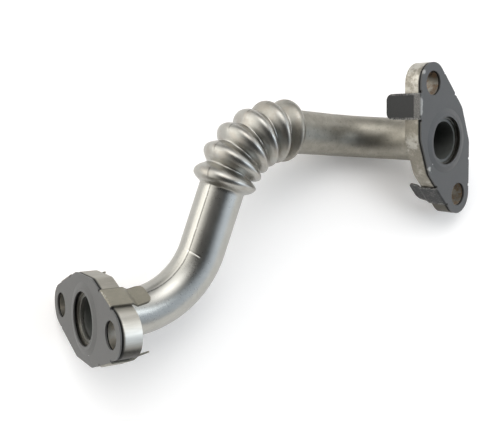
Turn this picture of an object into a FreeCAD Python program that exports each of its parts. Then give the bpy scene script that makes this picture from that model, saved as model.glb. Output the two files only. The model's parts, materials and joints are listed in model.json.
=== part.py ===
import FreeCAD, Part
import math
import os
from collections import namedtuple
from FreeCAD import Placement, Rotation, Vector

# Oil return pipe: a bent steel tube with a bellows formed in its middle bend, a two-bolt
# flange brazed on each end and a sheet gasket clipped on each flange by four folded tabs.
# Sizes are millimetres and degrees.

# Tube
tube_od = 16.0
tube_wall = 1.0
tube_recess = 0.5
bend_radius = 28.0

# Route of the centre line, from the left flange's sealing face to the right one's
left_run = 14.0
left_turn = 73.5
middle_twist = -175.5
middle_run = 24.5
bellows_turn = 76.0
bellows_bend_radius = 25.0
right_twist = -96.0
right_run = 19.5
right_turn = 87.0
end_run = 8.0

# Bellows
crest_count = 6
crest_od = 22.7
root_od = 16.6
crest_pitch = 6.4
crest_share = 0.66
bellows_lead = 1.4

# Flange plate
flange_thickness = 6.0
bolt_spacing = 45.0
bolt_hole_d = 8.4
ear_radius = 7.3
waist_width = 28.0
waist_flat = 14.0
waist_corner_radius = 5.0
face_edge_radius = 0.8
braze_gap = 0.05
braze_leg = 1.5

# Gasket sheet
sheet = 0.5
gasket_play = 0.35
port_d = 17.5
port_bead_land = 1.05
port_bead_slope = 1.9
port_bead_height = 0.45
port_bead_od = port_d + 2 * (port_bead_land + port_bead_slope)
bolt_hole_room = 0.1

# Gasket tabs
tab_width = 9.2
tab_setback = 4.6
tab_room = 0.15
fold_radius = 0.3
tab_shank_past_back = 0.2
tab_pinch = 30.0
tab_pinch_length = 1.5
tab_flare = 14.0
tab_tuck = 10.0
tab_tip_length = 4.6
tab_tip_radius = 2.3
loose_tab_shank = 1.6
loose_tab_flare = 14.0
loose_tab_length = 10.4
relief_width = 0.9

# Clocking of the bolt rows about the tube's ends
left_clock = 83.5
right_clock = 119.0

# Attitude in which the pipe comes to rest
lie_turn = 86.0
lie_pitch = -26.6
lie_roll = 119.23

X = Vector(1, 0, 0)
Y = Vector(0, 1, 0)
Z = Vector(0, 0, 1)
level = 1e-4
Stretch = namedtuple("Stretch", "at start length radius")


def shifted(place, distance):
    """A place moved along its own Z."""
    return place.multiply(Placement(Z * distance, Rotation()))


def turned(place, axis, angle):
    """A place turned about one of its own axes."""
    return place.multiply(Placement(Vector(), Rotation(axis, angle)))


# Route of the centre line

def along(stretch, distance):
    """The place this far along a run or a bend, with Z pointing down the tube."""
    if not stretch.radius:
        return shifted(stretch.start, distance)
    angle = distance / stretch.radius
    shift = X * stretch.radius * (1 - math.cos(angle)) + Z * stretch.radius * math.sin(angle)
    return stretch.start.multiply(Placement(shift, Rotation(Y, math.degrees(angle))))


def route():
    """Runs and bends in order, each with its distance from the left sealing face."""
    legs = (
        (left_run, bend_radius, left_turn, middle_twist),
        (middle_run, bellows_bend_radius, bellows_turn, right_twist),
        (right_run, bend_radius, right_turn, 0),
        (end_run, 0, 0, 0),
    )
    stretches = []
    here = Placement()
    at = 0
    for run, radius, turn, twist in legs:
        stretches.append(Stretch(at, here, run, 0))
        here = along(stretches[-1], run)
        at += run
        if turn:
            bend = Stretch(at, here, radius * math.radians(turn), radius)
            stretches.append(bend)
            here = turned(along(bend, bend.length), Z, twist)
            at += bend.length
    return stretches


STRETCHES = route()
BELLOWS_BEND = STRETCHES[3]
ROUTE_LENGTH = STRETCHES[-1].at + STRETCHES[-1].length
LEFT_END = turned(turned(STRETCHES[0].start, Z, left_clock), X, 180)
RIGHT_END = turned(along(STRETCHES[-1], end_run), Z, right_clock)


# Tube with its bellows

def disc(place, radius):
    """A flat round face across the tube."""
    face = Part.Face(Part.Wire(Part.makeCircle(radius)))
    face.Placement = place
    return face


def plain_rods(first, last, radius):
    """Solid rods over part of the route, one for each run or bend that it crosses."""
    rods = []
    for stretch in STRETCHES:
        begin = max(first - stretch.at, 0)
        end = min(last - stretch.at, stretch.length)
        if end <= begin:
            continue
        place = along(stretch, begin)
        face = disc(place, radius)
        if stretch.radius:
            centre = place.multVec(X * stretch.radius)
            axis = place.Rotation.multVec(Y)
            rods.append(face.revolve(centre, axis, math.degrees((end - begin) / stretch.radius)))
        else:
            rods.append(face.extrude(place.Rotation.multVec(Z * (end - begin))))
    return rods


def bellows_place(distance):
    """The place this far past the middle of the bellows bend, carried straight on at its ends."""
    from_start = distance + BELLOWS_BEND.length / 2
    inside = min(max(from_start, 0), BELLOWS_BEND.length)
    return shifted(along(BELLOWS_BEND, inside), from_start - inside)


def bellows_sections(inset):
    """Distance and radius at the bellows' ends, roots and crests, in order along the tube."""
    radii = (root_od / 2 - inset, crest_od / 2 - inset)
    reach = crest_count * crest_pitch / 2
    waves = [(n * crest_pitch / 2 - reach, radii[n % 2]) for n in range(2 * crest_count + 1)]
    end_radius = tube_od / 2 - inset
    return [(-reach - bellows_lead, end_radius)] + waves + [(reach + bellows_lead, end_radius)]


def flank(one, other):
    """Where a crest's curve meets a root's, on the straight line between the two."""
    root, crest = sorted((one, other), key=lambda section: section[1])
    return tuple(low * crest_share + high * (1 - crest_share) for low, high in zip(root, crest))


def loft(sections, straight):
    """A solid through round sections across the bellows, curved or straight between them."""
    wires = []
    for distance, radius in sections:
        wire = Part.Wire(Part.makeCircle(radius))
        wire.Placement = bellows_place(distance)
        wires.append(wire)
    return Part.makeLoft(wires, True, straight)


def round_bellows():
    """The bellows' outer form, with round crests and narrow straight roots between them."""
    sections = bellows_sections(0)
    waves = sections[1:-1]
    joints = [flank(one, other) for one, other in zip(waves, waves[1:])]
    joints = sections[:1] + joints + sections[-1:]
    spans = list(zip(joints, waves, joints[1:]))
    return [loft(span, index % 2 == 0) for index, span in enumerate(spans)]


def hollow_bellows():
    """The bellows' inner form, straight between its roots and crests."""
    return [loft(bellows_sections(tube_wall), True)]


def skin(radius, bellows):
    """The faces along the tube at one radius, with a bellows of its own, from end to end."""
    middle = BELLOWS_BEND.at + BELLOWS_BEND.length / 2
    reach = crest_count * crest_pitch / 2 + bellows_lead
    rods = plain_rods(tube_recess, middle - reach, radius) + bellows
    rods += plain_rods(middle + reach, ROUTE_LENGTH - tube_recess, radius)
    rod = rods[0].multiFuse(rods[1:]).removeSplitter()
    return [face for face in rod.Faces if not isinstance(face.Surface, Part.Plane)]


def end_ring(place):
    """The flat end of the tube's wall."""
    return disc(place, tube_od / 2).cut(disc(place, tube_od / 2 - tube_wall)).Faces


def tube():
    """The whole tube in one piece, hollow all the way through."""
    faces = skin(tube_od / 2, round_bellows())
    faces += skin(tube_od / 2 - tube_wall, hollow_bellows())
    faces += end_ring(along(STRETCHES[0], tube_recess))
    faces += end_ring(along(STRETCHES[-1], end_run - tube_recess))
    shell = Part.makeShell(faces)
    shell.sewShape()
    return Part.Solid(shell)


# Flange plates and their brazed joints

def ear_tangent():
    """Where the plate's slanted edge leaves the waist and where it meets the ear."""
    waist = Vector(waist_flat / 2, waist_width / 2, 0)
    ear = Vector(bolt_spacing / 2, 0, 0)
    across = ear - waist
    lean = math.atan2(across.y, across.x)
    reach = math.sqrt(across.Length ** 2 - ear_radius ** 2)
    slope = lean + math.asin(ear_radius / across.Length)
    return waist, waist + Vector(math.cos(slope), math.sin(slope), 0) * reach


def mirrored(point, side_x, side_y):
    """A point of the plate's first quarter copied to another quarter."""
    return Vector(point.x * side_x, point.y * side_y, point.z)


def plate(thickness):
    """A rhombic plate with round ears and eased waist corners, on top of Z = 0."""
    waist, tangent = ear_tangent()
    quarters = ((1, 1), (-1, 1), (-1, -1), (1, -1))
    corners = []
    for side_x, side_y in quarters:
        pair = [mirrored(tangent, side_x, side_y), mirrored(waist, side_x, side_y)]
        corners += pair if side_x == side_y else pair[::-1]
    rhombus = Part.Face(Part.makePolygon(corners + corners[:1])).extrude(Z * thickness)
    at_waist = [
        edge for edge in rhombus.Edges
        if abs(abs(edge.Vertexes[0].X) - waist.x) < level
        and abs(abs(edge.Vertexes[-1].X) - waist.x) < level
        and abs(edge.Vertexes[0].Z - edge.Vertexes[-1].Z) > thickness / 2
    ]
    rhombus = rhombus.makeFillet(waist_corner_radius, at_waist)
    ears = [
        Part.makeCylinder(ear_radius, thickness, X * side * bolt_spacing / 2) for side in (-1, 1)
    ]
    return rhombus.multiFuse(ears).removeSplitter()


def drilled(plate_solid, hole_d, centre_d):
    """A plate with its middle hole and two bolt holes cut right through."""
    depth = 4 * flange_thickness
    cutters = [Part.makeCylinder(centre_d / 2, depth, Z * -depth / 2)]
    for side in (-1, 1):
        place = Vector(side * bolt_spacing / 2, 0, -depth / 2)
        cutters.append(Part.makeCylinder(hole_d / 2, depth, place))
    return plate_solid.cut(cutters)


def rim_edges(solid, height):
    """Edges that lie flat at one height."""
    return [
        edge for edge in solid.Edges
        if abs(edge.BoundBox.ZMin - height) < level and abs(edge.BoundBox.ZMax - height) < level
    ]


def flange():
    """A flange plate with its sealing face at Z = 0 and that face's outer edge rounded."""
    solid = plate(flange_thickness)
    solid.translate(Z * -flange_thickness)
    solid = solid.makeFillet(face_edge_radius, rim_edges(solid, 0))
    return drilled(solid, bolt_hole_d, tube_od + 2 * braze_gap)


def braze():
    """The ring of filler in the corner between the tube and the back of a flange."""
    corner = Vector(tube_od / 2, 0, -flange_thickness)
    profile = [corner, corner + X * braze_leg, corner - Z * braze_leg, corner]
    return Part.Face(Part.makePolygon(profile)).revolve(Vector(), Z, 360)


# Gaskets with their tabs

def strip_side(moves, start, offset):
    """One side of a folded strip, as lines and arcs in the XZ plane."""
    heading = 0.0
    here = start
    shapes = []
    for length, turn, radius in moves:
        ahead = Vector(math.cos(heading), 0, math.sin(heading))
        left = Vector(-ahead.z, 0, ahead.x)
        if length:
            begin = here + left * offset
            shapes.append(Part.LineSegment(begin, begin + ahead * length))
            here = here + ahead * length
        if turn:
            side = math.copysign(1, turn)
            centre = here + left * side * radius
            points = []
            for share in (0, 0.5, 1):
                angle = heading + math.radians(turn) * share
                out = Vector(math.sin(angle), 0, -math.cos(angle))
                points.append(centre + out * side * radius - out * offset)
            shapes.append(Part.Arc(*points))
            heading += math.radians(turn)
            here = centre + Vector(math.sin(heading), 0, -math.cos(heading)) * side * radius
    return [shape.toShape() for shape in shapes]


def folded_strip(moves, start, thickness, width):
    """A strip of sheet bent by moves of length, turn and mid-sheet radius, width along Y."""
    one = strip_side(moves, start, thickness / 2)
    other = strip_side(moves, start, -thickness / 2)
    ends = [
        Part.makeLine(one[0].Vertexes[0].Point, other[0].Vertexes[0].Point),
        Part.makeLine(one[-1].Vertexes[-1].Point, other[-1].Vertexes[-1].Point),
    ]
    face = Part.Face(Part.Wire(Part.__sortEdges__(one + other + ends)))
    strip = face.extrude(Y * width)
    strip.translate(Y * -width / 2)
    return strip


def tab(moves):
    """A tab that leaves the sheet along X, folds back over the edge and ends rounded."""
    start = Vector(-sheet * 2, 0, sheet / 2)
    strip = folded_strip(moves, start, sheet, tab_width)
    low = min(edge.BoundBox.ZMin for edge in strip.Edges)
    tip = [
        edge for edge in strip.Edges
        if edge.BoundBox.YLength < level
        and edge.BoundBox.ZMin < low + sheet
        and abs(edge.Length - sheet) < level
    ]
    return strip.makeFillet(tab_tip_radius, tip)


def tab_shank():
    """The straight stretch of a tab beside the flange's edge."""
    return gasket_play + flange_thickness + tab_shank_past_back - fold_radius


def clip_tab(flare):
    """A tab pinched in behind the flange's back, its tip flared out or still tucked in."""
    middle_radius = fold_radius + sheet / 2
    lead = sheet * 2 + tab_room - fold_radius
    return tab((
        (lead, -90, middle_radius),
        (tab_shank(), -tab_pinch, middle_radius),
        (tab_pinch_length, tab_pinch + flare, middle_radius),
        (tab_tip_length, 0, 0),
    ))


def loose_tab():
    """A tab that was opened again: flat, and leaning out from the flange's edge."""
    middle_radius = fold_radius + sheet / 2
    lead = sheet * 2 + tab_room - fold_radius
    return tab((
        (lead, -90, middle_radius),
        (loose_tab_shank, loose_tab_flare, middle_radius),
        (loose_tab_length, 0, 0),
    ))


def tab_place():
    """Where a tab crosses the slanted edge of the first quarter, X pointing outward."""
    waist, tangent = ear_tangent()
    edge = (tangent - waist).normalize()
    reach = (bolt_spacing / 2 - tab_setback - waist.x) / edge.x
    outward = math.degrees(math.atan2(edge.x, -edge.y))
    return Placement(waist + edge * reach, Rotation(Z, outward))


def port_bead():
    """The raised ring of the sheet round the port, hollow on the flange's side."""
    port = port_d / 2
    foot = port_bead_od / 2
    top = foot - port_bead_slope
    below = [
        Vector(foot + sheet, 0, 0),
        Vector(foot, 0, 0),
        Vector(top, 0, port_bead_height),
        Vector(port, 0, port_bead_height),
    ]
    above = [point + Z * sheet for point in below[::-1]]
    face = Part.Face(Part.makePolygon(below + above + below[:1]))
    return face.revolve(Vector(), Z, 360)


def gasket(loose_quarter):
    """A gasket sheet on Z = 0 with tabs on all four slanted edges, one perhaps opened."""
    place = tab_place()
    pieces = []
    reliefs = []
    for side_x in (1, -1):
        for side_y in (1, -1):
            bent = clip_tab(tab_flare if side_y > 0 else -tab_tuck)
            if (side_x, side_y) == loose_quarter:
                bent = loose_tab()
            bent.Placement = place
            pieces.append(quarter_copy(bent, side_x, side_y))
            for end in (-1, 1):
                across = end * (tab_width + relief_width) / 2
                cutter = Part.makeBox(relief_width, relief_width, 4 * sheet)
                cutter.translate(Vector(-relief_width / 2, across - relief_width / 2, -sheet))
                cutter.Placement = place.multiply(cutter.Placement)
                reliefs.append(quarter_copy(cutter, side_x, side_y))
    sheet_solid = plate(sheet).cut(reliefs)
    ring_seat = Part.makeCylinder(port_bead_od / 2 + sheet / 2, sheet)
    sheet_solid = sheet_solid.cut(ring_seat)
    sheet_solid = sheet_solid.multiFuse(pieces + [port_bead()]).removeSplitter()
    return drilled(sheet_solid, bolt_hole_d + 2 * bolt_hole_room, port_d)


def quarter_copy(shape, side_x, side_y):
    """A shape of the first quarter mirrored to another quarter of the plate."""
    if side_x < 0:
        shape = shape.mirror(Vector(), X)
    if side_y < 0:
        shape = shape.mirror(Vector(), Y)
    return shape


def lie(shapes):
    """Turn the pipe into its resting attitude and stand its box's bottom centre at the origin."""
    attitude = Rotation(lie_turn, lie_pitch, lie_roll)
    for shape in shapes:
        shape.Placement = Placement(Vector(), attitude).multiply(shape.Placement)
    box = Part.Compound(shapes).optimalBoundingBox()
    drop = Vector(box.Center.x, box.Center.y, box.ZMin)
    for shape in shapes:
        shape.translate(drop * -1)


def placed(shape, place):
    """A shape carried from the drawing frame of an end to the end itself."""
    shape.Placement = place.multiply(shape.Placement)
    return shape


def main():
    nodes = {
        "tube": tube(),
        "flange_left": placed(flange(), LEFT_END),
        "flange_right": placed(flange(), RIGHT_END),
        "braze_left": placed(braze(), LEFT_END),
        "braze_right": placed(braze(), RIGHT_END),
        "gasket_left": placed(gasket(None), shifted(LEFT_END, gasket_play)),
        "gasket_right": placed(gasket((-1, -1)), shifted(RIGHT_END, gasket_play)),
    }
    lie(list(nodes.values()))
    os.makedirs("parts", exist_ok=True)
    for name, shape in nodes.items():
        shape.exportStep(f"parts/{name}.step")


main()
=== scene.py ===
import json
import math
from collections import namedtuple

import bpy
from bpy.props import FloatProperty, FloatVectorProperty, IntProperty, PointerProperty
from mathutils import Matrix, Vector


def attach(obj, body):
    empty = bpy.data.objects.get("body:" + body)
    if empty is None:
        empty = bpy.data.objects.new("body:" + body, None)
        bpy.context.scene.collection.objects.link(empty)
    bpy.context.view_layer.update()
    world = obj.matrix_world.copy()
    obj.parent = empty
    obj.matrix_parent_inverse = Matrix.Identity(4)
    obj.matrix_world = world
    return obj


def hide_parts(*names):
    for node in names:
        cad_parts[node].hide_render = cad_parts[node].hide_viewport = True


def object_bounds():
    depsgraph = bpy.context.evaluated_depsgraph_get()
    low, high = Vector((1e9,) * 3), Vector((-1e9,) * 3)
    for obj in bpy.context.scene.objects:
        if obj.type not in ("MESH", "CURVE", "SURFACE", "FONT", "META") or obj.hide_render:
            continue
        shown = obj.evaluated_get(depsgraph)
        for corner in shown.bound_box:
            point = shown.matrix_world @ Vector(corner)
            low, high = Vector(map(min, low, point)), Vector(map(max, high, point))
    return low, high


bl_info = {
    "name": "Oil Return Pipe",
    "version": (1, 0, 0),
    "blender": (4, 5, 0),
    "location": "View3D > Sidebar > Oil Pipe",
    "description": "Finishes a bellows oil return pipe, its flanges and its clipped gaskets",
    "category": "Object",
}

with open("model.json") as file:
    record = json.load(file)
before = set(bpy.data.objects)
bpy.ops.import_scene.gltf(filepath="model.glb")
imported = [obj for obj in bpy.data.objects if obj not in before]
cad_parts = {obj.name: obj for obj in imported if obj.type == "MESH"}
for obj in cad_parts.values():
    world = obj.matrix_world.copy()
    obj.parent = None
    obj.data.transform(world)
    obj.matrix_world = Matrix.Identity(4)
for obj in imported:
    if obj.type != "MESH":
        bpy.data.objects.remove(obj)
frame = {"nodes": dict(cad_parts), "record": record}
CAD_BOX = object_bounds()
MOUNTS = {mount["name"]: mount for mount in frame["record"]["mounts"]}
MM = 0.001
X = Vector((1, 0, 0))
Y = Vector((0, 1, 0))
Z = Vector((0, 0, 1))
WHITE_PAPER = (0.95, 0.935, 0.92, 1)
PAPER_GLOW = 0.15
WHITE = (1, 1, 1, 1)
STEEL_RELIEF = 0.035 * MM
FILLER_RELIEF = 0.08 * MM
COAT_RELIEF = 0.014 * MM


# Settings that a user would change

def length(name, default, description):
    """A size in metres, shown in the scene's unit."""
    return FloatProperty(
        name=name, description=description, default=default, unit="LENGTH", precision=5
    )


def angle(name, default, description):
    """An angle whose default is given in degrees."""
    return FloatProperty(
        name=name, description=description, default=math.radians(default), subtype="ANGLE"
    )


def colour(name, default, description):
    """A linear colour."""
    return FloatVectorProperty(
        name=name, description=description, default=default, size=3, min=0, max=1, subtype="COLOR"
    )


def share(name, default, description):
    """A number from 0 to 1."""
    return FloatProperty(
        name=name, description=description, default=default, min=0, max=1, subtype="FACTOR"
    )


class OilPipeTubeSettings(bpy.types.PropertyGroup):
    """The tube: its route, its bellows and its steel"""

    od: length("Tube Diameter", 16 * MM, "Outside diameter of the tube")
    wall: length("Wall", 1 * MM, "Thickness of the tube's wall")
    recess: length("Recess", 0.5 * MM, "How far the tube's ends stand back from the sealing faces")
    bend_radius: length("Bend Radius", 28 * MM, "Radius of the two plain bends")
    left_run: length("Left Run", 14 * MM, "Straight run behind the left flange")
    left_turn: angle("Left Turn", 73.5, "Angle of the first bend")
    middle_twist: angle("Middle Twist", -175.5, "Turn of the bend plane before the bellows")
    middle_run: length("Middle Run", 24.5 * MM, "Straight run between first bend and bellows")
    bellows_turn: angle("Bellows Turn", 76, "Angle that the bellows is bent through")
    bellows_radius: length("Bellows Bend Radius", 25 * MM, "Radius of the bend in the bellows")
    right_twist: angle("Right Twist", -96, "Turn of the bend plane after the bellows")
    right_run: length("Right Run", 19.5 * MM, "Straight run after the bellows")
    right_turn: angle("Right Turn", 87, "Angle of the last bend")
    end_run: length("End Run", 8 * MM, "Straight run behind the right flange")
    left_clock: angle("Left Clock", 83.5, "Turn of the left bolt row about the tube")
    crests: IntProperty(name="Crests", description="Number of ridges", default=6, min=1)
    crest_od: length("Crest Diameter", 22.6 * MM, "Diameter over the ridges")
    root_od: length("Root Diameter", 16.6 * MM, "Diameter in the grooves")
    pitch: length("Pitch", 6.4 * MM, "Distance from ridge to ridge on the centre line")
    root_ease: share("Root Ease", 0.14, "How round the grooves are")
    inner_roundness: share("Inner Roundness", 0.45, "How full the ridges are inside the bend")
    unevenness: length("Unevenness", 0.16 * MM, "How far the ridges stray from true")
    steel: colour("Steel", (0.40, 0.393, 0.362), "Bare steel")
    stain: colour("Stain", (0.235, 0.215, 0.17), "Brown heat tint near the right flange")
    violet: colour("Violet", (0.31, 0.277, 0.238), "Faint brown and violet tint on the ridges")
    bore: colour("Bore", (0.085, 0.089, 0.083), "Oily inside of the tube")
    seam_turn: share("Seam", 0.62, "Where the weld seam lies round the tube")
    crease_before: length("Crease", 2.5 * MM, "From the bending mark to the first bend's end")


class OilPipeFlangeSettings(bpy.types.PropertyGroup):
    """The flange plates and their brazed joints"""

    thickness: length("Thickness", 6 * MM, "Thickness of a flange plate")
    bolt_spacing: length("Bolt Spacing", 45 * MM, "Distance between the bolt holes")
    hole_d: length("Hole Diameter", 8.4 * MM, "Diameter of a bolt hole")
    left_steel: colour("Left Steel", (0.36, 0.343, 0.30), "Blanked edge of the left plate")
    right_steel: colour("Right Steel", (0.30, 0.28, 0.235), "Blanked edge of the right plate")
    # Also the colour of the painted highlight on the left plate's ear.
    bright: colour("Worn", (0.70, 0.68, 0.62), "Steel rubbed bright")
    # Painted shade: near-black colour of the shadow in the gap between flange and gasket.
    gap_shade: colour("Grime", (0.016, 0.016, 0.015), "Dirt in the groove under the gasket")
    rust: colour("Rust", (0.24, 0.155, 0.09), "Rust in the bolt holes")
    filler: colour("Filler", (0.42, 0.36, 0.27), "Brazing filler")


class OilPipeGasketSettings(bpy.types.PropertyGroup):
    """The gasket sheets with their folded tabs"""

    sheet: length("Sheet", 0.5 * MM, "Thickness of the gasket sheet")
    left_coat: colour("Left Coat", (0.079, 0.079, 0.075), "Coat on the left gasket")
    right_coat: colour("Right Coat", (0.057, 0.056, 0.053), "Coat on the right gasket")
    play: length("Play", 0.35 * MM, "How far the sheet stands off the flange")
    tab_width: length("Tab Width", 9.2 * MM, "Width of a tab")
    tab_setback: length("Tab Setback", 4.6 * MM, "From the bolt hole back to the tab's middle")
    waist_flat: length("Waist Flat", 14 * MM, "Straight edge across the sheet's waist")
    waist_width: length("Waist Width", 28 * MM, "Width of the sheet at its waist")
    ear_radius: length("Ear Radius", 7.3 * MM, "Radius of the sheet's ears")
    tab_brown: colour("Tab Brown", (0.235, 0.22, 0.175), "Bare left tabs")
    tab_dark: colour("Tab Dark", (0.016, 0.0165, 0.0165), "Dark right tabs")
    bare: colour("Bare", (0.62, 0.61, 0.57), "Coat worn through to steel")


class OilPipeStageSettings(bpy.types.PropertyGroup):
    """Camera, paper floor and studio light"""

    azimuth: angle("Azimuth", -20.684, "Compass turn of the camera's view; 0 looks along +Y")
    elevation: angle("Elevation", 73.109, "How steeply the camera looks down")
    roll: angle("Roll", -19.503, "Turn of the camera about its own view")
    distance: length("Distance", 234.009 * MM, "From the camera to the point it looks at")
    aim: FloatVectorProperty(
        name="Aim",
        description="Point that the camera looks at",
        default=(-8.772 * MM, 1.427 * MM, 20 * MM),
        subtype="TRANSLATION",
    )
    lens: FloatProperty(name="Lens", description="Focal length", default=47.767, unit="CAMERA")
    floor_size: length("Floor Size", 6.0, "Side of the paper floor")
    key_power: FloatProperty(
        name="Key Power", description="Long lamp behind the left end", default=0.5, unit="POWER"
    )
    side_power: FloatProperty(
        name="Side Power", description="Small cool lamp at the right", default=0.45, unit="POWER"
    )
    sky: FloatProperty(
        name="Sky", description="Strength of the light from all round", default=1, min=0
    )


# Node trees written as Python expressions

class Value:
    """A value in a node tree. Python's operators add the Math nodes."""

    def __init__(self, graph, socket):
        self.graph = graph
        self.socket = socket

    def math(self, operation, *others):
        values = {index: value for index, value in enumerate((self,) + others)}
        return self.graph.node("ShaderNodeMath", {"operation": operation}, values)

    def __add__(self, other):
        return self.math("ADD", other)

    def __sub__(self, other):
        return self.math("SUBTRACT", other)

    def __mul__(self, other):
        return self.math("MULTIPLY", other)

    def __truediv__(self, other):
        return self.math("DIVIDE", other)

    def __rsub__(self, other):
        return self.graph.number(other).math("SUBTRACT", self)

    def __pow__(self, other):
        return self.math("POWER", other)

    def __lt__(self, other):
        return self.math("LESS_THAN", other)

    def __gt__(self, other):
        return self.math("GREATER_THAN", other)

    def __abs__(self):
        return self.math("ABSOLUTE")

    __radd__ = __add__
    __rmul__ = __mul__

    def sine(self):
        return self.math("SINE")

    def cosine(self):
        return self.math("COSINE")

    def floor(self):
        return self.math("FLOOR")

    def least(self, other):
        return self.math("MINIMUM", other)

    def most(self, other):
        return self.math("MAXIMUM", other)

    def clamp(self):
        return self.least(1).most(0)

    def rise(self, low, high):
        """0 up to low and 1 from high, with a soft step between; falls if low is above high."""
        values = {"Value": self, "From Min": low, "From Max": high, "To Min": 0, "To Max": 1}
        return self.graph.node("ShaderNodeMapRange", {"interpolation_type": "SMOOTHSTEP"}, values)

    def near(self, middle, reach, fade):
        """1 within reach of a middle value, fading to 0."""
        return abs(self - middle).rise(reach + fade, reach)


class Graph:
    """Adds nodes to a tree."""

    def __init__(self, tree):
        self.tree = tree

    def feed(self, socket, value):
        if isinstance(value, Value):
            self.tree.links.new(value.socket, socket)
        else:
            socket.default_value = value

    def node(self, kind, settings, values, output=0):
        """A node with its settings made first and its inputs fed by name or number."""
        made = self.tree.nodes.new(kind)
        for name, setting in settings.items():
            setattr(made, name, setting)
        for name, value in values.items():
            self.feed(made.inputs[name], value)
        return Value(self, made.outputs[output])

    def other(self, value, output):
        """Another output of the node that a value comes from."""
        return Value(self, value.socket.node.outputs[output])

    def number(self, value):
        """A number as a node of its own, for the left side of a minus sign."""
        return self.node("ShaderNodeMath", {"operation": "ADD"}, {0: value, 1: 0.0})

    def split(self, vector):
        """The three parts of a vector."""
        first = self.node("ShaderNodeSeparateXYZ", {}, {0: vector})
        return first, self.other(first, 1), self.other(first, 2)

    def join(self, x, y, z):
        """A vector from three parts."""
        return self.node("ShaderNodeCombineXYZ", {}, {0: x, 1: y, 2: z})

    def scaled(self, vector, factor):
        """A vector times a vector of factors or a number."""
        if not isinstance(factor, (tuple, Value)):
            factor = (factor, factor, factor)
        return self.node("ShaderNodeVectorMath", {"operation": "MULTIPLY"}, {0: vector, 1: factor})

    def summed(self, one, other):
        """Two vectors added."""
        return self.node("ShaderNodeVectorMath", {"operation": "ADD"}, {0: one, 1: other})

    def distance(self, one, other):
        """How far two points are apart."""
        values = {0: one, 1: other}
        return self.node("ShaderNodeVectorMath", {"operation": "DISTANCE"}, values, "Value")

    def noise(self, vector, scale, detail=2.0, roughness=0.5):
        """Soft noise around one half."""
        values = {"Vector": vector, "Scale": scale, "Detail": detail, "Roughness": roughness}
        return self.node("ShaderNodeTexNoise", {}, values)

    def mix(self, factor, one, other):
        """From one colour at factor 0 to the other at factor 1."""
        values = {0: factor, 6: opaque(one), 7: opaque(other)}
        return self.node("ShaderNodeMix", {"data_type": "RGBA"}, values, 2)

    def shaded(self, colour_value, factor):
        """A colour made darker or lighter by a grey factor."""
        grey = self.join(factor, factor, factor)
        settings = {"data_type": "RGBA", "blend_type": "MULTIPLY"}
        return self.node("ShaderNodeMix", settings, {0: 1.0, 6: opaque(colour_value), 7: grey}, 2)


def opaque(value):
    """A colour socket's value: a plain colour gets its fourth number."""
    if isinstance(value, Value):
        return value
    return tuple(value)[:3] + (1.0,)


class Finish(Graph):
    """A new material around one Principled shader."""

    def __init__(self, name):
        self.material = bpy.data.materials.new(name)
        self.material.use_nodes = True
        super().__init__(self.material.node_tree)
        self.shader = self.tree.nodes["Principled BSDF"]

    def place(self):
        """Object coordinates in millimetres."""
        at = self.node("ShaderNodeTexCoord", {}, {}, "Object")
        return self.scaled(at, 1 / MM)

    def end_place(self, side):
        """Object coordinates in millimetres from a flange's sealing face, X along the bolt row."""
        end = end_matrix(side)
        values = {
            "Vector": self.node("ShaderNodeTexCoord", {}, {}, "Object"),
            "Location": end.to_translation(),
            "Rotation": end.to_euler(),
            "Scale": (MM, MM, MM),
        }
        return self.node("ShaderNodeMapping", {"vector_type": "TEXTURE"}, values)

    def set(self, **values):
        """Feeds the shader's inputs, such as Base_Color."""
        for name, value in values.items():
            self.feed(self.shader.inputs[name.replace("_", " ")], value)

    def bump(self, height, depth):
        """Raises the surface by a height from 0 to 1 times a depth in metres."""
        values = {"Height": height, "Distance": depth, "Strength": 1.0}
        self.set(Normal=self.node("ShaderNodeBump", {}, values))


# Places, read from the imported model

def matrix_from(origin, x, y, z):
    """A placement with these axes."""
    return Matrix.Translation(origin) @ Matrix((x, y, z)).transposed().to_4x4()


def end_matrix(side):
    """The middle of a flange's sealing face, Z out of the pipe, X along the bolt row."""
    bolts = MOUNTS[f"{side}_bolts"]
    z = Vector(bolts["axis"]).normalized()
    row = Vector(MOUNTS[f"{side}_face"]["pos_m"]) - Vector(bolts["pos_m"])
    x = (row - z * row.dot(z)).normalized()
    thickness = bpy.context.scene.oil_pipe_flanges.thickness
    return matrix_from(Vector(bolts["pos_m"]) + z * thickness / 2, x, z.cross(x), z)


# Route of the tube's centre line

Stretch = namedtuple("Stretch", "at start length radius")


def along(stretch, distance):
    """The place this far along a run or a bend, with Z pointing down the tube."""
    if not stretch.radius:
        return stretch.start @ Matrix.Translation(Z * distance)
    turn = distance / stretch.radius
    shift = X * stretch.radius * (1 - math.cos(turn)) + Z * stretch.radius * math.sin(turn)
    return stretch.start @ Matrix.Translation(shift) @ Matrix.Rotation(turn, 4, "Y")


def route(tube):
    """The runs and bends in order, each with its distance from the left sealing face."""
    legs = (
        (tube.left_run, tube.bend_radius, tube.left_turn, tube.middle_twist),
        (tube.middle_run, tube.bellows_radius, tube.bellows_turn, tube.right_twist),
        (tube.right_run, tube.bend_radius, tube.right_turn, 0),
        (tube.end_run, 0, 0, 0),
    )
    here = end_matrix("left") @ Matrix.Rotation(math.pi, 4, "X")
    here = here @ Matrix.Rotation(-tube.left_clock, 4, "Z")
    stretches = []
    at = 0
    for run, radius, turn, twist in legs:
        stretches.append(Stretch(at, here, run, 0))
        here = along(stretches[-1], run)
        at += run
        if turn:
            bend = Stretch(at, here, radius * turn, radius)
            stretches.append(bend)
            here = along(bend, bend.length) @ Matrix.Rotation(twist, 4, "Z")
            at += bend.length
    return stretches


def route_point(stretches, distance):
    """The point of the centre line this far from the left sealing face."""
    stretch = [each for each in stretches if each.at <= distance][-1]
    return along(stretch, distance - stretch.at).to_translation()


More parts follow.
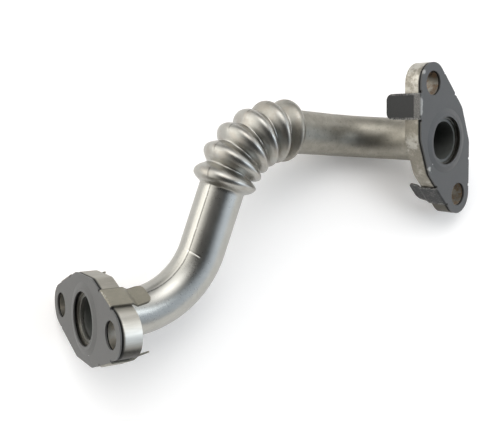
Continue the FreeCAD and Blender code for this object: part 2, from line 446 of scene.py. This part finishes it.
def route_mesh(stretches, first, last, step):
    """The centre line between two distances as a chain of points."""
    count = math.ceil((last - first) / step)
    points = [
        route_point(stretches, first + (last - first) * index / count)
        for index in range(count + 1)
    ]
    mesh = bpy.data.meshes.new("Centre line")
    mesh.from_pydata(points, [(index, index + 1) for index in range(count)], [])
    return mesh


# Tube with its bellows

ROUTE_STEP = 0.5 * MM
PLAIN_RINGS = 120
BELLOWS_RINGS = 216
TUBE_SIDES = 96
LEAD_IN_SHARE = 0.03
WELD = 0.001 * MM
SHARP_EDGE = math.radians(50)
TUBE_INPUTS = (
    ("Length", "NodeSocketFloat"),
    ("Bellows Start", "NodeSocketFloat"),
    ("Bellows Length", "NodeSocketFloat"),
    ("Tube Radius", "NodeSocketFloat"),
    ("Root Radius", "NodeSocketFloat"),
    ("Crest Radius", "NodeSocketFloat"),
    ("Crests", "NodeSocketFloat"),
    ("Bend Centre", "NodeSocketVector"),
    ("Bend Radius", "NodeSocketFloat"),
    ("Inner Roundness", "NodeSocketFloat"),
    ("Root Ease", "NodeSocketFloat"),
    ("Unevenness", "NodeSocketFloat"),
    ("Wall", "NodeSocketFloat"),
    ("Plain Rings", "NodeSocketInt"),
    ("Bellows Rings", "NodeSocketInt"),
    ("Sides", "NodeSocketInt"),
    ("Steel", "NodeSocketMaterial"),
    ("Bore", "NodeSocketMaterial"),
)


class Shape(Graph):
    """A new Geometry Nodes tree with named inputs."""

    def __init__(self, name, inputs):
        tree = bpy.data.node_groups.new(name, "GeometryNodeTree")
        super().__init__(tree)
        tree.interface.new_socket("Geometry", in_out="INPUT", socket_type="NodeSocketGeometry")
        for label, kind in inputs:
            tree.interface.new_socket(label, in_out="INPUT", socket_type=kind)
        tree.interface.new_socket("Geometry", in_out="OUTPUT", socket_type="NodeSocketGeometry")
        self.entry = tree.nodes.new("NodeGroupInput")

    def given(self, label):
        """A named input of the tree."""
        return Value(self, self.entry.outputs[label])

    def finish(self, geometry):
        """Makes the result real and hands it out."""
        real = self.node("GeometryNodeRealizeInstances", {}, {0: geometry})
        self.feed(self.tree.nodes.new("NodeGroupOutput").inputs[0], real)


def ridge_height(ridges, crests, ease):
    """From 0 in a groove to 1 on a ridge, counted in ridges along the bellows."""
    inside = ridges.least(crests).most(0)
    swing = (inside * math.pi).sine()
    top = (ease * ease + 1) ** 0.5 - ease
    return ((swing * swing + ease * ease) ** 0.5 - ease) / top


def tube_shape():
    """A tree that wraps a hollow tube with a bellows round a centre line."""
    shape = Shape("Bellows tube", TUBE_INPUTS)
    plain = shape.given("Plain Rings")
    steps = plain + shape.given("Bellows Rings")
    rows = steps * 2 + 3
    grid = shape.node(
        "GeometryNodeMeshGrid",
        {},
        {"Size X": 1.0, "Size Y": 1.0, "Vertices X": rows, "Vertices Y": shape.given("Sides") + 1},
    )
    at = shape.node("GeometryNodeInputPosition", {}, {})
    across, round_, unused = shape.split(at)
    row = ((across + 0.5) * (steps * 2 + 2) + 0.5).floor()
    turn = round_ + 0.5
    inner = (row > steps + 0.5) * (row < steps * 2 + 1.5)
    outer_step = (row < steps + 0.5) * row
    step = inner * (steps * 2 + 1 - row) + (1 - inner) * outer_step

    bellows_start = shape.given("Bellows Start")
    bellows = shape.given("Bellows Length")
    tail = shape.given("Length") - bellows_start - bellows
    half = plain / 2
    ways = (step / half).clamp() * bellows_start
    ways = ways + ((step - half) / (steps - plain)).clamp() * bellows
    ways = ways + ((step - half - (steps - plain)) / half).clamp() * tail

    ridges = (ways - bellows_start) / bellows * shape.given("Crests")
    lead_in = bellows * LEAD_IN_SHARE
    within = ((ways - bellows_start) / lead_in).clamp()
    within = within * ((bellows_start + bellows - ways) / lead_in).clamp()
    foot = shape.given("Tube Radius")
    foot = foot + (shape.given("Root Radius") - foot) * within

    sample = shape.node(
        "GeometryNodeSampleCurve",
        {"mode": "FACTOR"},
        {
            "Curves": shape.node("GeometryNodeMeshToCurve", {}, {0: shape.given("Geometry")}),
            "Factor": ways / shape.given("Length"),
        },
        "Position",
    )
    tangent = shape.other(sample, "Tangent")
    normal = shape.other(sample, "Normal")
    side = shape.node("ShaderNodeVectorMath", {"operation": "CROSS_PRODUCT"}, {0: tangent, 1: normal})
    ring = turn * (2 * math.pi)
    spoke = shape.summed(
        shape.scaled(normal, shape.join(ring.cosine(), ring.cosine(), ring.cosine())),
        shape.scaled(side, shape.join(ring.sine(), ring.sine(), ring.sine())),
    )
    wall_at = shape.summed(sample, shape.scaled(spoke, shape.join(foot, foot, foot)))
    short_of = shape.given("Bend Radius") - shape.distance(wall_at, shape.given("Bend Centre"))
    inner_side = (short_of / foot).clamp()
    height = ridge_height(ridges, shape.given("Crests"), shape.given("Root Ease"))
    height = height ** (1 - inner_side * shape.given("Inner Roundness"))
    radius = foot + (shape.given("Crest Radius") - foot) * height
    wobble_at = shape.summed(shape.scaled(sample, 1 / MM), shape.scaled(spoke, 8.0))
    wobble = shape.noise(wobble_at, 0.16, 1.5) - 0.5
    radius = radius + wobble * shape.given("Unevenness") * 2 * height
    radius = radius - inner * shape.given("Wall")
    place = shape.summed(sample, shape.scaled(spoke, shape.join(radius, radius, radius)))

    lining = (row > steps + 1) * (row < steps * 2 + 1)
    skin = shape.node("GeometryNodeSetMaterial", {}, {0: grid, "Material": shape.given("Steel")})
    skin = shape.node(
        "GeometryNodeSetMaterial",
        {},
        {0: skin, "Selection": lining > 0.5, "Material": shape.given("Bore")},
    )
    skin = shape.node(
        "GeometryNodeStoreNamedAttribute",
        {"data_type": "FLOAT2", "domain": "CORNER"},
        {0: skin, "Name": "Route", "Value": shape.join(turn, ways, 0.0)},
    )
    skin = shape.node("GeometryNodeSetPosition", {}, {0: skin, "Position": place})
    skin = shape.node("GeometryNodeMergeByDistance", {}, {0: skin, "Distance": WELD})
    skin = shape.node("GeometryNodeFlipFaces", {}, {0: skin})
    shape.finish(skin)
    return shape.tree


def modifier_inputs(modifier, values):
    """Sets a Geometry Nodes modifier's inputs by the names that its tree gives them."""
    for item in modifier.node_group.interface.items_tree:
        if item.in_out == "INPUT" and item.name in values:
            modifier[item.identifier] = values[item.name]


def plain_mesh(piece, modifier):
    """Turns a modifier's result into the piece's own mesh."""
    graph = bpy.context.evaluated_depsgraph_get()
    mesh = bpy.data.meshes.new_from_object(piece.evaluated_get(graph), depsgraph=graph)
    piece.modifiers.remove(modifier)
    piece.data = mesh
    mesh.polygons.foreach_set("use_smooth", [True] * len(mesh.polygons))
    mesh.set_sharp_from_angle(angle=SHARP_EDGE)
    return mesh


def make_tube(tube):
    """The tube as one hollow mesh in the place of its solid."""
    stretches = route(tube)
    end = stretches[-1].at + stretches[-1].length - tube.recess
    bend = stretches[3]
    bellows = tube.crests * tube.pitch
    start = bend.at + bend.length / 2 - bellows / 2
    mesh = route_mesh(stretches, tube.recess, end, ROUTE_STEP)
    piece = bpy.data.objects.new("tube_finished", mesh)
    bpy.context.scene.collection.objects.link(piece)
    modifier = piece.modifiers.new("Bellows tube", "NODES")
    modifier.node_group = tube_shape()
    values = {
        "Length": end - tube.recess,
        "Bellows Start": start - tube.recess,
        "Bellows Length": bellows,
        "Tube Radius": tube.od / 2,
        "Root Radius": tube.root_od / 2,
        "Crest Radius": tube.crest_od / 2,
        "Crests": float(tube.crests),
        "Bend Centre": bend.start @ (X * bend.radius),
        "Bend Radius": bend.radius,
        "Inner Roundness": tube.inner_roundness,
        "Root Ease": tube.root_ease,
        "Unevenness": tube.unevenness,
        "Wall": tube.wall,
        "Plain Rings": PLAIN_RINGS,
        "Bellows Rings": BELLOWS_RINGS,
        "Sides": TUBE_SIDES,
        "Steel": tube_steel(tube, stretches),
        "Bore": tube_bore(tube),
    }
    modifier_inputs(modifier, values)
    plain_mesh(piece, modifier)
    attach(piece, "root")
    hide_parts("tube")
    return piece


def tube_steel(tube, stretches):
    """Satin drawn steel with a weld seam, a bending mark with painted shade in its groove and a
    painted highlight on its lip, and a brown heat tint at the right.
    """
    steel = Finish("Tube steel")
    at = steel.place()
    uv = steel.node("ShaderNodeUVMap", {"uv_map": "Route"}, {})
    turn, ways, unused = steel.split(uv)
    ways = ways / MM

    cloud = steel.noise(at, 0.09, 3.0)
    patch = steel.noise(at, 0.3, 3.0, 0.6)
    speck = steel.noise(at, 1.6, 3.0, 0.7)
    grain = steel.noise(steel.join(turn * 9, ways * 2.6, 0.0), 1.0, 2.0)
    middle = stretches[3].at / MM + stretches[3].length / 2 / MM
    ridge_reach = tube.crests * tube.pitch / 2 / MM
    total = (stretches[-1].at + stretches[-1].length - 2 * tube.recess) / MM
    ridged = ways.near(middle, ridge_reach - 1, 2.5)

    heat_from = middle + ridge_reach * 0.45
    heat = (ways + (cloud - 0.5) * 40).rise(heat_from - 8, heat_from + 14)
    heat = heat * (0.7 + (speck - 0.5) * 0.5)
    tone = steel.mix(heat, tube.steel, tube.stain)
    freckle = steel.noise(at, 1.1, 2.0, 0.6).rise(0.6, 0.7)
    tone = steel.shaded(tone, 1 + heat * ((patch - 0.5) * 0.7 - freckle * 0.3))
    violet = ridged * (patch + (speck - 0.5) * 0.3).rise(0.46, 0.62) * 0.5
    tone = steel.mix(violet, tone, tube.violet)
    tone = steel.shaded(tone, 0.80 + cloud * 0.2 + patch * 0.16 + (speck - 0.5) * 0.14)

    wander = (steel.noise(steel.join(0.0, ways, 0.0), 0.35, 2.0) - 0.5) * 0.006
    first_ridge = middle - ridge_reach
    seam_turn = turn + wander - ways.rise(first_ridge + 11, first_ridge) * 0.04
    seam = seam_turn.near(tube.seam_turn, 0.0025, 0.004)
    beside = seam_turn.near(tube.seam_turn - 0.012, 0.003, 0.006)
    broken = steel.noise(steel.join(0.0, ways, 0.0), 0.9, 2.0).rise(0.3, 0.5)
    ridge_top = ((ways - first_ridge) * (math.pi / (tube.pitch / MM))).sine()
    faint = 1 - ridged + ridged * (ridge_top * ridge_top).rise(0.4, 0.9) * 0.7
    seam_line = seam * faint * (0.25 + broken * 0.3)
    tone = steel.shaded(tone, 1 - seam_line + beside * (1 - ridged) * 0.2)
    wrinkle = steel.noise(steel.join(turn * 240, ways * 0.6, 0.0), 1.0, 2.0)
    pleated = ridged * turn.near(tube.seam_turn + 0.012, 0.012, 0.025)

    crease_at = (stretches[1].at + stretches[1].length - tube.crease_before) / MM
    bow = (turn - tube.seam_turn - 0.08) * 12
    crease = ways + bow
    side_on = turn.near(tube.seam_turn + 0.08, 0.035, 0.03)
    groove = crease.near(crease_at, 0.15, 0.5) * side_on
    lip = crease.near(crease_at - 0.7, 0.15, 0.5) * side_on
    # Painted shade in the bending mark's groove and a painted highlight along its lip, as well as
    # their bump.
    tone = steel.shaded(tone, 1 - groove * 0.2 + lip * 0.6)

    dirt = ways.rise(total - 0.9, total - 0.3) * 0.95
    dirt = dirt.most(ways.rise(0.9, 0.3) * 0.45)
    tone = steel.mix(dirt, tone, tube.bore)
    steel.set(
        Base_Color=tone,
        Metallic=1 - dirt * 0.8,
        Roughness=0.25 + cloud * 0.1 + heat * 0.2 + (speck - 0.5) * 0.16 + ridged * 0.03,
    )
    relief = grain * 0.3 + patch * 0.8 + speck * 0.18
    relief = relief + pleated * wrinkle * 2.5 - groove * 1.2 + lip * 0.8 - seam * 0.6
    steel.bump(relief, STEEL_RELIEF)
    return steel.material


def tube_bore(tube):
    """The dark oily inside of the tube."""
    bore = Finish("Tube bore")
    film = bore.noise(bore.place(), 0.35, 3.0)
    uv = bore.node("ShaderNodeUVMap", {"uv_map": "Route"}, {})
    unused, ways, unused = bore.split(uv)
    mouth = (ways / MM).rise(2.5, 0.5) * (0.2 + film * 0.4)
    tone = bore.shaded(tube.bore, 0.7 + film * 0.7)
    bore.set(
        Base_Color=bore.mix(mouth, tone, tube.steel),
        Metallic=mouth,
        Roughness=0.3 + film * 0.2,
    )
    return bore.material


# Flanges and brazed joints

def flange_steel(flanges, side):
    """Blanked plate steel: speckled brown edge, worn bright patches on the right plate, a painted
    highlight on the left ear's end, painted shade on the left ear's low end and in one bolt hole of
    the right plate, and a painted shadow in the gap under the gasket.
    """
    steel = Finish(f"Flange steel {side}")
    local = steel.end_place(side)
    u, v, w = steel.split(local)
    half_row = flanges.bolt_spacing / 2 / MM
    hole_radius = flanges.hole_d / 2 / MM
    cloud = steel.noise(local, 0.16, 3.0)
    patch = steel.noise(local, 0.42, 3.0, 0.6)
    speck = steel.noise(local, 1.9, 4.0, 0.75)
    fine = steel.noise(local, 5.0, 2.0, 0.6)

    if side == "left":
        tone = steel.shaded(flanges.left_steel, 0.78 + cloud * 0.2 + (speck - 0.5) * 0.22)
        streak = steel.noise(steel.join(u * 0.45, v * 1.1, w * 0.12), 1.0, 3.0, 0.6)
        tone = steel.shaded(tone, 1.25 - streak * 0.5)
        # Painted highlight: the left ear's end is mixed towards the worn-steel colour for the light
        # it catches.
        worn = u.rise(half_row + 1, half_row + 4) * 0.8
        # Painted shade: the left ear's low end is darkened where it faces down towards the shadowed
        # floor.
        under = u.rise(half_row - 3, half_row) * v.rise(-0.5, -4)
        tone = steel.shaded(tone, 1 - under * (0.62 + patch * 0.4))
        worn = worn * (1 - under) * (0.4 + streak)
        rough = 0.42 + speck * 0.1 - worn * 0.06
        rusty = 0.25
    else:
        tone = steel.shaded(flanges.right_steel, 0.78 + patch * 0.25 + (speck - 0.5) * 0.7)
        bright = u.near(-5, 1.5, 2.5).most(u.rise(1 - half_row, -2 - half_row))
        worn = patch * 0.6 + cloud * 0.4 + (speck - 0.5) * 0.2 + bright * 0.08
        worn = worn.rise(0.46, 0.66)
        worn = worn * (0.25 + bright * 0.3)
        low_ear = u.rise(half_row - 7, half_row - 3)
        tone = steel.shaded(tone, 1 - low_ear * 0.6)
        worn = worn * (1 - low_ear)
        rough = 0.44 + speck * 0.16 - worn * 0.08
        rusty = 0.8
    # Worn bright patches on the right plate; on the left plate this paints the highlight on the ear's
    # end.
    tone = steel.mix(worn, tone, flanges.bright)

    hole = steel.distance(steel.join(abs(u), v, 0.0), (half_row, 0.0, 0.0))
    in_hole = hole.rise(hole_radius + 0.12, hole_radius + 0.02)
    # Painted shade: the outer wall of the right plate's bolt hole at negative X is darkened for
    # depth.
    painted_hole_shade = u.rise(1 - half_row, -2 - half_row) * (0.85 if side == "right" else 0)
    hole_tone = steel.shaded(flanges.left_steel, (0.6 + patch * 0.6) * (1 - painted_hole_shade))
    tone = steel.mix(in_hole, tone, hole_tone)
    rust = in_hole * (patch + (speck - 0.5) * 0.6).rise(0.46, 0.64) * rusty
    tone = steel.mix(rust, tone, flanges.rust)

    from_port = steel.distance(steel.join(u, v, 0.0), (0.0, 0.0, 0.0))
    # Painted shadow: outside the port, the sealing face and its rounded edge go near-black for the
    # shade in the gap under the gasket.
    groove = w.rise(-0.75, -0.2) * (1 - in_hole) * from_port.rise(9.5, 11)
    tone = steel.mix(groove, tone, flanges.gap_shade)
    oily = from_port.rise(9.2, 8.9) * (0.65 if side == "right" else 0.2)
    tone = steel.shaded(tone, 1 - oily)
    steel.set(
        Base_Color=tone,
        Metallic=(1 - rust * 0.6) * (1 - groove * 0.9),
        Roughness=rough + rust * 0.2 + groove * 0.3,
    )
    steel.bump(patch * 0.8 + speck * 0.5 + fine * 0.25, STEEL_RELIEF)
    return steel.material


def braze_metal(flanges):
    """Dull brazing filler in the corner between tube and plate."""
    filler = Finish("Brazing filler")
    at = filler.place()
    lump = filler.noise(at, 0.8, 3.0)
    filler.set(
        Base_Color=filler.shaded(flanges.filler, 0.5 + lump * 0.8),
        Metallic=0.9,
        Roughness=0.4 + lump * 0.25,
    )
    filler.bump(lump, FILLER_RELIEF)
    return filler.material


# Gaskets

# Places on the right sheet, in millimetres along and across its bolt row
RUBBED_SPOTS = ((4.9, -13.3, 0.0), (-28.4, -4.0, 0.0))


def tab_frame(graph, gaskets, u, v):
    """How far a point lies outside the sheet's slanted edge, and along it from a tab's middle."""
    half_row = bpy.context.scene.oil_pipe_flanges.bolt_spacing / 2
    waist = Vector((gaskets.waist_flat / 2, gaskets.waist_width / 2))
    across = Vector((half_row, 0)) - waist
    reach = math.sqrt(across.length_squared - gaskets.ear_radius ** 2)
    slope = math.atan2(across.y, across.x) + math.asin(gaskets.ear_radius / across.length)
    edge = Vector((math.cos(slope), math.sin(slope)))
    middle = waist + edge * ((half_row - gaskets.tab_setback - waist.x) / edge.x)
    outward = Vector((-edge.y, edge.x))
    middle = middle / MM
    u = abs(u) - middle.x
    v = abs(v) - middle.y
    return u * outward.x + v * outward.y, u * edge.x + v * edge.y


def gasket_coat(gaskets, side):
    """Matt grey sealing coat, bare or dark on the tabs and worn through along the folds."""
    coat = Finish(f"Gasket coat {side}")
    local = coat.end_place(side)
    u, v, w = coat.split(local)
    cloud = coat.noise(local, 0.16, 2.0)
    patch = coat.noise(local, 0.6, 2.0, 0.6)
    speck = coat.noise(local, 2.4, 3.0, 0.7)
    fine = coat.noise(local, 6.0, 2.0, 0.6)
    out, aside = tab_frame(coat, gaskets, u, v)
    below = gaskets.play / MM
    half = gaskets.tab_width / 2 / MM
    tab = out.rise(0.1, 0.3).most(w.rise(below, below - 0.2))
    tab = tab * abs(aside).rise(half + 0.4, half + 0.2)
    face = gaskets.left_coat if side == "left" else gaskets.right_coat
    tone = coat.shaded(face, 0.9 + cloud * 0.14 + (patch - 0.5) * 0.12)
    if side == "left":
        flap = coat.shaded(gaskets.tab_brown, 0.75 + patch * 0.3 + speck * 0.25)
        dark_edge = abs(aside).rise(half - 0.5, half - 0.1) * 0.5
        flap = coat.shaded(flap, 1 - dark_edge)
        tone = coat.mix(tab, tone, flap)
        worn = tab * w.near(below + 0.3, 0.25, 0.5)
        worn = worn * (speck + (patch - 0.5) * 0.6).rise(0.5, 0.7) * 0.6
        metal = tab * 0.7
    else:
        flap = coat.shaded(gaskets.tab_dark, 0.5 + speck * 0.9)
        tone = coat.mix(tab, tone, flap)
        border = abs(aside).rise(half - 0.9, half - 0.3)
        border = border * (speck + (patch - 0.5) * 0.5).rise(0.42, 0.6) * 0.4
        opened = u.rise(0.5, -0.5) * v.rise(0.5, -0.5)
        strip = w.near(below - 0.9, 1.0, 0.5) * opened * (speck * 1.4 - 0.35).clamp() * 0.5
        rub = coat.distance(coat.join(out * 1.6, aside * 0.5, 0.0), (0.0, 0.0, 0.0))
        root = opened * (rub + (patch - 0.5) * 2.4).rise(1.9, 1.2) * w.rise(below - 0.3, below + 0.2)
        root = root * (0.2 + speck * 0.4)
        fleck = (speck + (patch - 0.5) * 0.5).rise(0.52, 0.7) * (1 - opened) * 0.12
        worn = (tab * border.most(strip).most(fleck)).most(root)
        for place in RUBBED_SPOTS:
            away = coat.distance(coat.join(u, v, 0.0), place)
            worn = worn.most((away + (patch - 0.5) * 1.8).rise(1.0, 0.4) * 0.5)
        metal = tab * 0.1
    spots = (coat.noise(local, 0.5, 3.0, 0.7)).rise(0.735, 0.76) * (1 - tab) * 0.8
    worn = worn.most(spots)
    tone = coat.mix(worn, tone, gaskets.bare)
    coat.set(
        Base_Color=tone,
        Metallic=metal.most(worn * 0.9),
        Roughness=0.42 + speck * 0.1 - worn * 0.1,
    )
    coat.bump(patch * 0.5 + speck * 0.3 + fine * 0.4, COAT_RELIEF)
    return coat.material


def dress(node, material):
    """Gives a carried-over solid its finish."""
    solid = frame["nodes"][node]
    if not solid.material_slots:
        solid.data.materials.append(None)
    for slot in solid.material_slots:
        slot.material = material


# Stage

def view_matrix(stage):
    """The camera's place and turn from the direction that it looks in."""
    flat = math.cos(stage.elevation)
    ahead = Vector((
        -math.sin(stage.azimuth) * flat,
        math.cos(stage.azimuth) * flat,
        -math.sin(stage.elevation),
    ))
    level_right = ahead.cross(Z).normalized()
    level_up = level_right.cross(ahead)
    up = level_up * math.cos(stage.roll) + level_right * math.sin(stage.roll)
    return matrix_from(Vector(stage.aim) - ahead * stage.distance, ahead.cross(up), up, -ahead)


def make_camera(stage):
    """The camera at the angle of the reference view."""
    data = bpy.data.cameras.new("Camera")
    data.lens = stage.lens
    data.sensor_width = 36
    data.clip_start = 0.01
    camera = bpy.data.objects.new("Camera", data)
    camera.matrix_world = view_matrix(stage)
    bpy.context.scene.collection.objects.link(camera)
    bpy.context.scene.camera = camera


def lamp(name, compass, height, distance, size, power, tint):
    """A soft lamp that faces the pipe, in degrees; compass 0 is behind it and 90 at its right."""
    data = bpy.data.lights.new(name, "AREA")
    data.shape = "RECTANGLE"
    data.size, data.size_y = size
    data.energy = power
    data.color = tint
    flat = math.cos(math.radians(height))
    side = Vector((
        math.sin(math.radians(compass)) * flat,
        math.cos(math.radians(compass)) * flat,
        math.sin(math.radians(height)),
    ))
    made = bpy.data.objects.new(name, data)
    middle = (CAD_BOX[0] + CAD_BOX[1]) / 2
    made.location = middle + side * distance
    made.rotation_mode = "QUATERNION"
    made.rotation_quaternion = (-side).to_track_quat("-Z", "Y")
    bpy.context.scene.collection.objects.link(made)


def make_floor(stage):
    """A paper floor that takes the pipe's shadow and looks white to the camera."""
    half = stage.floor_size / 2
    corners = [(-half, -half, 0), (half, -half, 0), (half, half, 0), (-half, half, 0)]
    mesh = bpy.data.meshes.new("Paper floor")
    mesh.from_pydata(corners, [], [(0, 1, 2, 3)])
    floor = bpy.data.objects.new("Paper floor", mesh)
    bpy.context.scene.collection.objects.link(floor)
    paper = Finish("White paper")
    ray = paper.node("ShaderNodeLightPath", {}, {}, "Is Camera Ray")
    seen = ray + paper.other(ray, "Is Glossy Ray") + paper.other(ray, "Is Transmission Ray")
    paper.set(Base_Color=WHITE_PAPER, Roughness=0.9, Specular_IOR_Level=0.0)
    light = {"Color": WHITE, "Strength": seen.clamp() * PAPER_GLOW}
    glow = paper.node("ShaderNodeEmission", {}, light)
    both = paper.node("ShaderNodeAddShader", {}, {})
    paper.tree.links.new(paper.shader.outputs[0], both.socket.node.inputs[0])
    paper.tree.links.new(glow.socket, both.socket.node.inputs[1])
    output = paper.tree.nodes["Material Output"]
    paper.tree.links.new(both.socket, output.inputs["Surface"])
    floor.data.materials.append(paper.material)


# Level of the sky all round, its least level, and its patches: towards, light, tightness
SKY_LEVEL = 0.34
SKY_LEAST = 0.05
SKY_PATCHES = (
    ((0.04, 0.45, 0.89), (3.6, 3.6, 3.6), 12),
    ((-0.97, 0.15, 0.1), (2.55, 2.5, 2.4), 3.5),
    ((0.95, -0.15, 0.2), (0.95, 1.13, 1.38), 5),
    ((0.83, 0.44, 0.34), (0.75, 0.74, 0.72), 8),
    ((-0.05, -0.5, 0.86), (-0.66, -0.66, -0.66), 4),
)


def make_sky(stage):
    """Soft light from above, left and right, darker from the front, and white to the camera."""
    world = bpy.data.worlds.new("Studio")
    world.use_nodes = True
    bpy.context.scene.world = world
    sky = Graph(world.node_tree)
    background = world.node_tree.nodes["Background"]
    direction = sky.node("ShaderNodeTexCoord", {}, {}, "Generated")
    dome = sky.join(SKY_LEVEL, SKY_LEVEL, SKY_LEVEL)
    for towards, light, tightness in SKY_PATCHES:
        facing = {0: direction, 1: Vector(towards).normalized()}
        facing = sky.node("ShaderNodeVectorMath", {"operation": "DOT_PRODUCT"}, facing, "Value")
        patch = facing.most(0) ** tightness
        dome = sky.summed(dome, sky.scaled(sky.join(patch, patch, patch), light))
    darkest = {0: dome, 1: (SKY_LEAST, SKY_LEAST, SKY_LEAST)}
    dome = sky.node("ShaderNodeVectorMath", {"operation": "MAXIMUM"}, darkest)
    ray = sky.node("ShaderNodeLightPath", {}, {}, "Is Camera Ray")
    sky.feed(background.inputs["Color"], sky.mix(ray, sky.scaled(dome, stage.sky), WHITE))
    sky.feed(background.inputs["Strength"], 1.0)


# Operators

class OILPIPE_OT_tube(bpy.types.Operator):
    """Wrap the bellows tube round its centre line and give it its steel"""

    bl_idname = "oilpipe.tube"
    bl_label = "Make Tube"

    def execute(self, context):
        make_tube(context.scene.oil_pipe_tube)
        return {"FINISHED"}


class OILPIPE_OT_flanges(bpy.types.Operator):
    """Finish both flange plates and their brazed joints"""

    bl_idname = "oilpipe.flanges"
    bl_label = "Finish Flanges"

    def execute(self, context):
        flanges = context.scene.oil_pipe_flanges
        filler = braze_metal(flanges)
        for side in ("left", "right"):
            dress(f"flange_{side}", flange_steel(flanges, side))
            dress(f"braze_{side}", filler)
        return {"FINISHED"}


class OILPIPE_OT_gaskets(bpy.types.Operator):
    """Finish both gaskets with their folded tabs"""

    bl_idname = "oilpipe.gaskets"
    bl_label = "Finish Gaskets"

    def execute(self, context):
        for side in ("left", "right"):
            dress(f"gasket_{side}", gasket_coat(context.scene.oil_pipe_gaskets, side))
        return {"FINISHED"}


class OILPIPE_OT_stage(bpy.types.Operator):
    """Lay the paper floor and place the lamps and the camera"""

    bl_idname = "oilpipe.stage"
    bl_label = "Set Stage"

    def execute(self, context):
        stage = context.scene.oil_pipe_stage
        make_floor(stage)
        make_sky(stage)
        lamp("Key", -55, 42, 0.9, (0.9, 0.4), stage.key_power, (1, 0.985, 0.955))
        lamp("Side", 100, 38, 0.6, (0.2, 0.3), stage.side_power, (0.84, 0.92, 1))
        make_camera(stage)
        context.scene.view_settings.view_transform = "Standard"
        return {"FINISHED"}


class OILPIPE_PT_panel(bpy.types.Panel):
    """Steps that finish the oil pipe"""

    bl_label = "Oil Pipe"
    bl_idname = "OILPIPE_PT_panel"
    bl_space_type = "VIEW_3D"
    bl_region_type = "UI"
    bl_category = "Oil Pipe"

    def draw(self, context):
        for step in STEPS:
            self.layout.operator(step.bl_idname)


STEPS = (OILPIPE_OT_tube, OILPIPE_OT_flanges, OILPIPE_OT_gaskets, OILPIPE_OT_stage)
SETTINGS = {
    "oil_pipe_tube": OilPipeTubeSettings,
    "oil_pipe_flanges": OilPipeFlangeSettings,
    "oil_pipe_gaskets": OilPipeGasketSettings,
    "oil_pipe_stage": OilPipeStageSettings,
}


def register():
    for name, settings in SETTINGS.items():
        bpy.utils.register_class(settings)
        setattr(bpy.types.Scene, name, PointerProperty(type=settings))
    for each in STEPS + (OILPIPE_PT_panel,):
        bpy.utils.register_class(each)


def unregister():
    for each in reversed(STEPS + (OILPIPE_PT_panel,)):
        bpy.utils.unregister_class(each)
    for name, settings in SETTINGS.items():
        delattr(bpy.types.Scene, name)
        bpy.utils.unregister_class(settings)


def main():
    register()
    bpy.ops.oilpipe.tube()
    bpy.ops.oilpipe.flanges()
    bpy.ops.oilpipe.gaskets()
    bpy.ops.oilpipe.stage()


if __name__ == "__main__":
    main()
